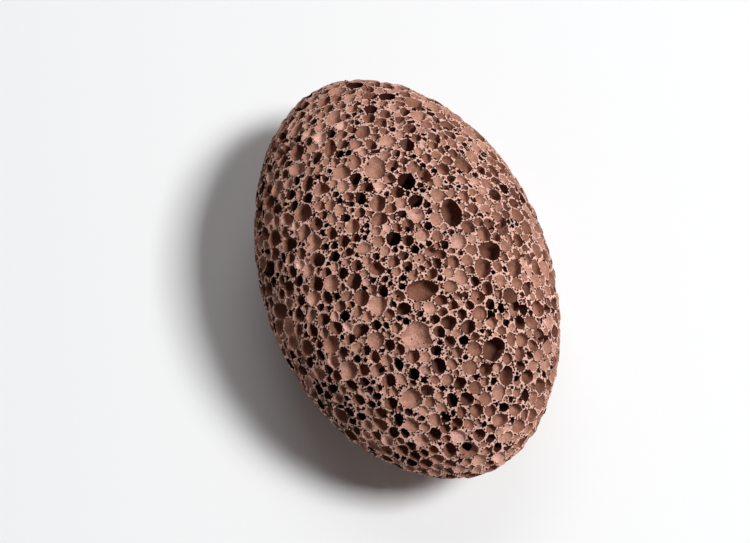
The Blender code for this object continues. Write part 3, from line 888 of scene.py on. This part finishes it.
sides = {"Vertices": given["Pinhole Sides"]}
cone = add_node(tree, "GeometryNodeMeshCone", {**sides, **CONE}, fill_type="NGON").outputs["Mesh"]
spin = random_value(tree, (0, 0, 0), (SPIN, SPIN, SPIN), given["Seed"])
inward = {"Rotation": spin, "Vector": stored(tree, "into", "FLOAT_VECTOR")}
facing = add_node(tree, "FunctionNodeAlignRotationToVector", inward, axis="Z")
uneven = random_value(tree, *UNEVEN, given["Seed"])
in_gaps = add_node(tree, "GeometryNodeInstanceOnPoints", {
    "Points": object_mesh(tree, given["Pinhole Points"]),
    "Instance": cone,
    "Rotation": facing.outputs[0],
    "Scale": vector_math(tree, "SCALE", uneven, stored(tree, "half_width")),
}).outputs[0]
print("cone", CONE)

# %% Cones scattered over the bubbles' walls
FLOOR_WIDTHS = (0.45, 1.0)
CLEAR_OF_SKIN = 1.1 * ABOVE
SET_BACK = (0, 0, -0.15 * MM)

shaped = object_mesh(tree, given["Bubbles"])
limits = {"A": distance_to(tree, given["Geometry"]), "B": CLEAR_OF_SKIN}
well_off = add_node(tree, "FunctionNodeCompare", limits, operation="GREATER_THAN")
scattered = add_node(tree, "GeometryNodeDistributePointsOnFaces", {
    "Mesh": shaped,
    "Selection": well_off.outputs[0],
    "Density": given["Floor Pinholes"],
    "Seed": given["Seed"],
}).outputs
width = random_value(tree, *FLOOR_WIDTHS, given["Seed"])
cones = add_node(tree, "GeometryNodeInstanceOnPoints", {
    "Points": scattered["Points"],
    "Instance": cone,
    "Rotation": scattered["Rotation"],
    "Scale": add_math(tree, "MULTIPLY", width, given["Floor Pinhole Width"]),
})
moves = {"Instances": cones.outputs[0], "Translation": SET_BACK}
in_floors = add_node(tree, "GeometryNodeTranslateInstances", moves).outputs[0]
print("scattered more than", round(CLEAR_OF_SKIN / MM, 2), "mm under the skin")

# %% [markdown]
# ### The cut
#
# The fast Manifold solver subtracts all the cutters at once, as all of them are closed.

# %% Subtract everything
whole = {"Mesh 1": given["Geometry"]}
opened = add_node(tree, "GeometryNodeMeshBoolean", whole, operation="DIFFERENCE", solver="MANIFOLD")
broken_in = object_mesh(tree, given["Partners"])
for cutter in (shaped, broken_in, in_gaps, in_floors):
    tree.links.new(cutter, opened.inputs["Mesh 2"])
both = tree.nodes.new("GeometryNodeJoinGeometry")
for cutter in (shaped, broken_in):
    tree.links.new(cutter, both.inputs[0])
both = both.outputs[0]
print(len(opened.inputs["Mesh 2"].links), "cutters")

# %% [markdown]
# ### What the finish needs to know
#
# The material asks how deep a point lies under the old skin, and how dark the bubble is that
# a face belongs to, painted shade included. Both are stored here, while the blank and the
# bubbles are at hand. A face near no shaped bubble is the wall of a pinhole, and gets a dark
# tone of painted shade.

# %% Store depth and tone
# the walls of pinholes are painted this dark: painted shade
PINHOLE_SHADE = 0.75
UNDER_SKIN = 0.03 * MM
OFF_BUBBLE = 0.02 * MM

depth = distance_to(tree, given["Geometry"])
sunk = add_math(tree, "GREATER_THAN", depth, UNDER_SKIN)
in_pinhole = add_math(tree, "GREATER_THAN", distance_to(tree, both), OFF_BUBBLE)
in_pinhole = add_math(tree, "MULTIPLY", in_pinhole, PINHOLE_SHADE)
own = {"Mesh": both, "Value": stored(tree, "bubble_tone")}
nearest = add_node(tree, "GeometryNodeSampleNearestSurface", own).outputs[0]
# a face's tone is its bubble's or the pinhole's, painted shade included, and only below the skin
tone = add_math(tree, "MULTIPLY", add_math(tree, "MAXIMUM", nearest, in_pinhole), sunk)
foam = store(tree, opened.outputs["Mesh"], "depth", depth, "POINT")
foam = store(tree, foam, "tone", tone, "FACE")
print("tone of a pinhole", PINHOLE_SHADE)

# %% [markdown]
# ### Rough walls and worn rims
#
# Fine noise along the normals roughens the walls, and a wider noise lowers the rims here and
# there, as tumbling does. The wear leaves the foot alone, so the stone lies flat.

# %% Roughen and wear
# noise below the first value wears the rims, in full once it is lower by the second
WEAR_NOISE = (0.60, 0.22)
WEAR_REACH = 1.4 * MM
# how far the skin turns down before the wear stops, and the fade to that
FOOT_EDGE = 0.95
FOOT_FADE = 0.3

noise = add_noise(tree, {"Scale": given["Roughness Scale"], "Detail": 2.0})
push = add_math(tree, "MULTIPLY", add_math(tree, "SUBTRACT", noise, 0.5), given["Roughness Height"])
normal = tree.nodes.new("GeometryNodeInputNormal").outputs[0]
foam = moved(tree, foam, vector_math(tree, "SCALE", normal, push))

here = tree.nodes.new("GeometryNodeInputPosition").outputs[0]
outward = vector_math(tree, "SUBTRACT", here, (0, 0, THICKNESS - HALF[2]))
outward = vector_math(tree, "MULTIPLY", outward, tuple(1 / HALF ** 2))
outward = vector_math(tree, "NORMALIZE", outward)
noise = add_noise(tree, {"Scale": given["Wear Scale"], "Detail": 1.0})
wear = share_of(tree, add_math(tree, "SUBTRACT", WEAR_NOISE[0], noise), WEAR_NOISE[1])
under = share_of(tree, stored(tree, "depth"), WEAR_REACH)
near_skin = add_math(tree, "SUBTRACT", 1.0, under, clamp=True)
height = add_node(tree, "ShaderNodeSeparateXYZ", {"Vector": outward}).outputs["Z"]
off_foot = share_of(tree, add_math(tree, "ADD", height, FOOT_EDGE), FOOT_FADE)
sink = add_math(tree, "MULTIPLY", add_math(tree, "MULTIPLY", wear, near_skin), off_foot)
sink = add_math(tree, "MULTIPLY", sink, add_math(tree, "MULTIPLY", given["Wear Depth"], -1.0))
foam = moved(tree, foam, vector_math(tree, "SCALE", outward, sink))
print("wear reaches", WEAR_REACH / MM, "mm down")

# %% End the tree
foam = add_node(tree, "GeometryNodeRealizeInstances", {"Geometry": foam}).outputs[0]
foam = add_node(tree, "GeometryNodeSetMaterial", {"Geometry": foam, "Material": given["Stone"]}).outputs[0]
tree.links.new(foam, tree.nodes.new("NodeGroupOutput").inputs["Geometry"])
opening = tree
print("opening tree", len(opening.nodes), "nodes")

# %% [markdown]
# ## A dry, dusty colour, with painted shade
#
# The worn rims are rubbed to a pale pinkish tan, and open bubbles are a redder brown inside.
# On top of that, shade is painted into the bubbles, darker for the deeper kinds, and deep holes
# are painted nearly black. So one colour ramp reads the stored tone, which fades in just
# below the skin, and noise at three sizes moves it about: patches as wide as a thumb, clumps
# inside a bubble, and single grains. Dark specks between the mouths are painted shade of the
# finest pores. Grains and specks also feed a bump, as they are too small to model.

# %% Colours by tone
# tone, from worn rim to the painted black shade of a hole, and the colour there;
# the darker colours are painted shade as well as the bubbles' own redder brown
TONE_AND_SHADE_COLOURS = (
    (0.00, (0.725, 0.442, 0.368)),
    (0.15, (0.465, 0.246, 0.180)),
    (0.35, (0.26, 0.113, 0.075)),
    (0.72, (0.048, 0.014, 0.009)),
    (0.88, (0.006, 0.003, 0.002)),
)
print("colours from tone", TONE_AND_SHADE_COLOURS[0][0], "to", TONE_AND_SHADE_COLOURS[-1][0])

# %% The noises and how strong they are
# scale and detail of the noise
PATCHES = (45.0, 2.0)
CLUMPS = (500.0, 3.0)
GRAINS = (2600.0, 3.0)
SPECKS = 1700.0
# specks, painted shade of the finest pores, are this wide, with this soft an edge and this dark
SPECK_WIDTH = 0.46
SPECK_EDGE = 0.12
PORE_SPECK_SHADE = 0.85
# the tone fades in over the lip, from this share of it
LIP = 0.22 * MM
LIP_TONE = 0.55
CLUMP_TONE = 0.25
# lowest light and its range, for grains and for patches
GRAIN_LIGHT = (0.5, 1.0)
PATCH_LIGHT = (0.75, 0.5)
CLUMP_RELIEF = 1.6
BUMP = 0.22 * MM
BUMP_STRENGTH = 0.9


def times_plus(tree, value, factor, plus):
    """A value times a factor, plus another value."""
    values = {0: value, 1: factor, 2: plus}
    return add_node(tree, "ShaderNodeMath", values, operation="MULTIPLY_ADD").outputs[0]


# %% What moves the tone about
tree = stone_finish.node_tree
place = add_node(tree, "ShaderNodeTexCoord").outputs["Object"]
patches, clumps, grains = (
    add_noise(tree, {"Vector": place, "Scale": scale, "Detail": detail})
    for scale, detail in (PATCHES, CLUMPS, GRAINS)
)
cells = {"Vector": place, "Scale": SPECKS, "Randomness": 0.9}
cells = add_node(tree, "ShaderNodeTexVoronoi", cells).outputs["Distance"]
tone = add_node(tree, "ShaderNodeAttribute", attribute_name="tone").outputs["Fac"]
depth = add_node(tree, "ShaderNodeAttribute", attribute_name="depth").outputs["Fac"]
# dark specks on the worn skin only: painted shade of pores too small to model
painted_pore_specks = share_of(tree, add_math(tree, "SUBTRACT", SPECK_WIDTH, cells), SPECK_EDGE)
painted_pore_specks = add_math(tree, "MULTIPLY", painted_pore_specks, add_math(tree, "LESS_THAN", tone, 0.02))
lip = times_plus(tree, share_of(tree, depth, LIP), 1 - LIP_TONE, LIP_TONE)
lip = add_math(tree, "MAXIMUM", lip, tone)
shift = add_math(tree, "MULTIPLY", add_math(tree, "SUBTRACT", clumps, 0.5), CLUMP_TONE)
level = add_math(tree, "ADD", add_math(tree, "MULTIPLY", tone, lip), shift, clamp=True)
level = add_math(tree, "ADD", level, add_math(tree, "MULTIPLY", painted_pore_specks, PORE_SPECK_SHADE), clamp=True)
print("tone built from", len(tree.nodes), "nodes")

# %% Colour and bump
ramp = add_node(tree, "ShaderNodeValToRGB", {"Fac": level})
elements = ramp.color_ramp.elements
for index, (position, colour) in enumerate(TONE_AND_SHADE_COLOURS):
    element = elements[index] if index < 2 else elements.new(0.5)
    element.position = position
    element.color = (*colour, 1.0)
light = times_plus(tree, grains, GRAIN_LIGHT[1], GRAIN_LIGHT[0])
light = add_math(tree, "MULTIPLY", light, times_plus(tree, patches, PATCH_LIGHT[1], PATCH_LIGHT[0]))
tree.links.new(vector_math(tree, "SCALE", ramp.outputs[0], light), finish["Base Color"])
relief = add_math(tree, "SUBTRACT", times_plus(tree, clumps, CLUMP_RELIEF, grains), painted_pore_specks)
heights = {"Height": relief, "Distance": BUMP, "Strength": BUMP_STRENGTH}
tree.links.new(add_node(tree, "ShaderNodeBump", heights).outputs[0], finish["Normal"])
print("stone finish", len(tree.nodes), "nodes")

# %% [markdown]
# ## The finished stone
#
# The modifier's result is kept as a plain mesh. Cutting can free a crumb between bubbles, so
# only the largest piece stays. Edges are sharp where the tone jumps, at every mouth, and the
# rest is shaded smooth. Noise must not push the foot through the table, so the lowest points
# are set back to it.

# %% Cut the blank
opener = blank.modifiers.new("Open bubbles", "NODES")
opener.node_group = opening
for item in opening.interface.items_tree:
    if item.in_out == "INPUT" and item.name in OPENING:
        opener[item.identifier] = OPENING[item.name][1]
bpy.context.view_layer.update()
cut = blank.evaluated_get(bpy.context.evaluated_depsgraph_get())
stone_mesh = bpy.data.meshes.new_from_object(cut)
print("cut stone", len(stone_mesh.polygons), "faces")

# %% Keep one clean piece
bm = bmesh.new()
bm.from_mesh(stone_mesh)
unseen = set(bm.verts)
pieces = []
while unseen:
    piece = {unseen.pop()}
    edge = list(piece)
    while edge:
        joined = {e.other_vert(v) for v in edge for e in v.link_edges} & unseen
        unseen -= joined
        piece |= joined
        edge = list(joined)
    pieces.append(piece)
pieces.sort(key=len)
for crumb in pieces[:-1]:
    bmesh.ops.delete(bm, geom=list(crumb), context="VERTS")
bm.to_mesh(stone_mesh)
bm.free()
print(len(pieces) - 1, "crumbs removed")

# %% Keep the foot flat on the table
points = np.empty(len(stone_mesh.vertices) * 3)
stone_mesh.vertices.foreach_get("co", points)
print("lowest point was", round(points[2::3].min() / MM, 3), "mm")
points[2::3] = np.maximum(points[2::3], 0)
stone_mesh.vertices.foreach_set("co", points)

# %% Make it the stone
stone = add_object("pumice_stone_skin", stone_mesh)
for helper in (blank, bubble_cutter, partner_cutter, pinholes):
    bpy.data.objects.remove(helper, do_unlink=True)
stone_mesh.shade_smooth()
corners = np.empty(len(stone_mesh.polygons), np.int32)
stone_mesh.polygons.foreach_get("loop_total", corners)
print("stone", int(corners.sum() - 2 * len(corners)), "triangles")

# %% Sharp edges where the tone jumps
TONE_STEP = 0.05

tone = np.empty(len(corners), np.float32)
stone_mesh.attributes["tone"].data.foreach_get("value", tone)
tone = np.repeat(tone, corners)
edge = np.empty(len(stone_mesh.loops), np.int32)
stone_mesh.loops.foreach_get("edge_index", edge)
highest = np.zeros(len(stone_mesh.edges))
lowest = np.ones(len(stone_mesh.edges))
np.maximum.at(highest, edge, tone)
np.minimum.at(lowest, edge, tone)
sharp = highest - lowest > TONE_STEP
stone_mesh.attributes.new("sharp_edge", "BOOLEAN", "EDGE").data.foreach_set("value", sharp)
print(int(sharp.sum()), "sharp edges")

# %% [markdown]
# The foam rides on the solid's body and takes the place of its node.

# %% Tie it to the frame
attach(stone, "root")
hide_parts(NODE)
print(stone.name, "replaces", NODE)

# %% [markdown]
# ## Table top, light and camera
#
# A small soft lamp on the picture's right shades the bubbles from side to side, a large weak
# one behind the stone softens the shadow, and a little light comes from the room. The camera
# looks down steeply, with the stone's length from the upper left to the lower right.

# %% A pale table
FLOOR_SIZE = 3.0
s = FLOOR_SIZE / 2
table_mesh = bpy.data.meshes.new("table_top")
table_mesh.from_pydata([(-s, -s, 0), (s, -s, 0), (s, s, 0), (-s, s, 0)], [], [(0, 1, 2, 3)])
pale_table, finish = new_material("pale_table", 0.7, 0.2)
finish["Base Color"].default_value = (0.86, 0.87, 0.88, 1)
table_mesh.materials.append(pale_table)
floor = add_object("table_top", table_mesh)
floor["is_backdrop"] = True
print("table", FLOOR_SIZE, "m wide")

# %% The camera's place
CAMERA_AZIMUTH = math.radians(70.5)
CAMERA_ELEVATION = math.radians(69)
CAMERA_DISTANCE = 0.4722
CAMERA_LENS = 100
LOOK_BESIDE = 6.9 * MM
LOOK_ABOVE = 0.2 * MM

right = Vector((math.cos(CAMERA_AZIMUTH), math.sin(CAMERA_AZIMUTH), 0))
back = Vector((
    math.sin(CAMERA_AZIMUTH) * math.cos(CAMERA_ELEVATION),
    -math.cos(CAMERA_AZIMUTH) * math.cos(CAMERA_ELEVATION),
    math.sin(CAMERA_ELEVATION),
))
up = back.cross(right)


def aim(ob, place, target):
    """Put a camera or a lamp at a place, looking at a target."""
    ob.location = place
    ob.rotation_euler = (Vector(target) - Vector(place)).to_track_quat("-Z", "Y").to_euler()


camera_data = bpy.data.cameras.new("camera")
camera_data.lens = CAMERA_LENS
camera_data.sensor_width = 36
camera = add_object("camera", camera_data)
target = Vector((0, 0, THICKNESS / 2)) - right * LOOK_BESIDE + up * LOOK_ABOVE
aim(camera, target + back * CAMERA_DISTANCE, target)
bpy.context.scene.camera = camera
print("camera", [round(c, 3) for c in camera.location])

# %% Soft lamps and room light
# name, toward the picture's right, toward its top, height, size, power
LAMPS = (
    ("side_lamp", 1.17, -0.04, 1.62, 0.54, 42.5),
    ("back_lamp", 0.0, 1.1, 1.3, 1.2, 6.0),
)
ROOM_LIGHT = 0.10

beyond = Vector((-math.sin(CAMERA_AZIMUTH), math.cos(CAMERA_AZIMUTH), 0))
for name, side, away, height, size, power in LAMPS:
    lamp = bpy.data.lights.new(name, "AREA")
    lamp.shape = "SQUARE"
    lamp.size = size
    lamp.energy = power
    place = right * side + beyond * away + Vector((0, 0, height))
    aim(add_object(name, lamp), place, (0, 0, THICKNESS / 2))

room_light = bpy.data.worlds.new("room")
room_light.use_nodes = True
background = room_light.node_tree.nodes["Background"].inputs
background["Color"].default_value = (1.0, 0.97, 0.945, 1)
background["Strength"].default_value = ROOM_LIGHT
bpy.context.scene.world = room_light
bpy.context.scene.view_settings.view_transform = "Standard"
print(len(LAMPS), "lamps")

# %% [markdown]
# ## Last look at the size
#
# The foam must fill the same box as the solid.

# %% Write the sizes and finish
BOX_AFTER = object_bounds()
for name, box in (("solid", BOX_BEFORE), ("foam", BOX_AFTER)):
    print(name, [round((box[1][k] - box[0][k]) / MM, 2) for k in range(3)], "mm")
